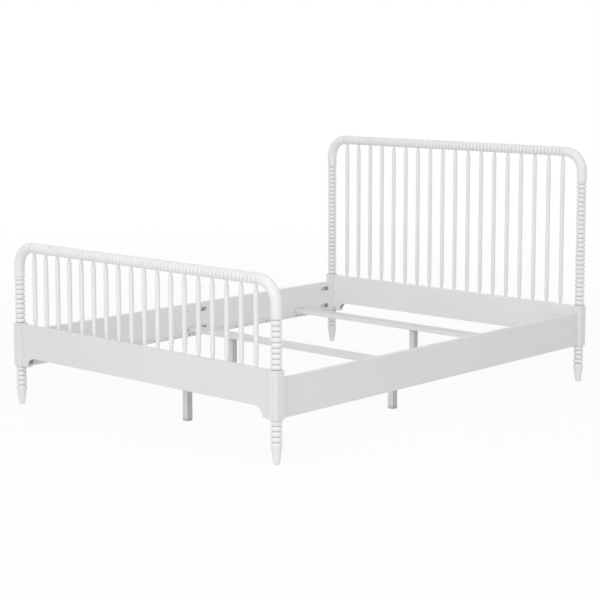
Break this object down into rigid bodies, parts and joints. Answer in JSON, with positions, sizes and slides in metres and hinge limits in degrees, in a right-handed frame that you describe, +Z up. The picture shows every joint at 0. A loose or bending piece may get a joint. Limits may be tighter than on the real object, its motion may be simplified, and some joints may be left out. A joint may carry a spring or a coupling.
{
  "type": "spindle bed",
  "caption": "Painted wooden bed frame with spool-turned posts and top rails, straight spindles, lower panels, side rails, cross slats and support legs.",
  "frame": {"origin": "on the floor, under the middle of the bed", "axes": "+X across the bed, +Y from the footboard to the headboard, +Z up"},
  "size_m": [1.611, 2.131, 1.1125],
  "materials": {
    "frame_paint": "white satin paint on wood",
    "support_paint": "white satin paint on wood, plain boards",
    "dowel_wood": "bare beech",
    "zinc_steel": "zinc-plated steel",
    "screw_steel": "dark zinc-plated steel"
  },
  "bodies": {
    "root": {"barrel_nuts": "zinc_steel", "cleat_left_foot_half": "support_paint", "cleat_left_head_half": "support_paint", "cleat_right_foot_half": "support_paint", "cleat_right_head_half": "support_paint", "cleat_screws": "screw_steel", "corner_dowels": "dowel_wood", "foot_slat": "support_paint", "footboard_corner_left": "frame_paint", "footboard_corner_right": "frame_paint", "footboard_panel": "frame_paint", "footboard_post_left": "frame_paint", "footboard_post_right": "frame_paint", "footboard_spindle_pair_1": "frame_paint", "footboard_spindle_pair_2": "frame_paint", "footboard_spindle_pair_3": "frame_paint", "footboard_spindle_pair_4": "frame_paint", "footboard_spindle_pair_5": "frame_paint", "footboard_spindle_pair_6": "frame_paint", "footboard_spindle_pair_7": "frame_paint", "footboard_spindle_pair_8": "frame_paint", "footboard_spindle_pair_9": "frame_paint", "footboard_top_rail": "frame_paint", "half_moon_washers": "zinc_steel", "head_slat": "support_paint", "headboard_corner_left": "frame_paint", "headboard_corner_right": "frame_paint", "headboard_panel": "frame_paint", "headboard_post_left": "frame_paint", "headboard_post_right": "frame_paint", "headboard_spindle_pair_1": "frame_paint", "headboard_spindle_pair_2": "frame_paint", "headboard_spindle_pair_3": "frame_paint", "headboard_spindle_pair_4": "frame_paint", "headboard_spindle_pair_5": "frame_paint", "headboard_spindle_pair_6": "frame_paint", "headboard_spindle_pair_7": "frame_paint", "headboard_spindle_pair_8": "frame_paint", "headboard_spindle_pair_9": "frame_paint", "headboard_top_rail": "frame_paint", "joint_bolts": "zinc_steel", "leg_bolts": "zinc_steel", "leg_inserts": "zinc_steel", "middle_slat": "support_paint", "panel_dowels": "dowel_wood", "rail_nuts": "zinc_steel", "rail_studs": "zinc_steel", "side_rail_left_foot_half": "frame_paint", "side_rail_left_head_half": "frame_paint", "side_rail_right_foot_half": "frame_paint", "side_rail_right_head_half": "frame_paint", "slat_screws": "screw_steel", "support_leg_foot": "support_paint", "support_leg_head": "support_paint", "support_leg_left": "support_paint", "support_leg_right": "support_paint"}
  },
  "joints": []
}
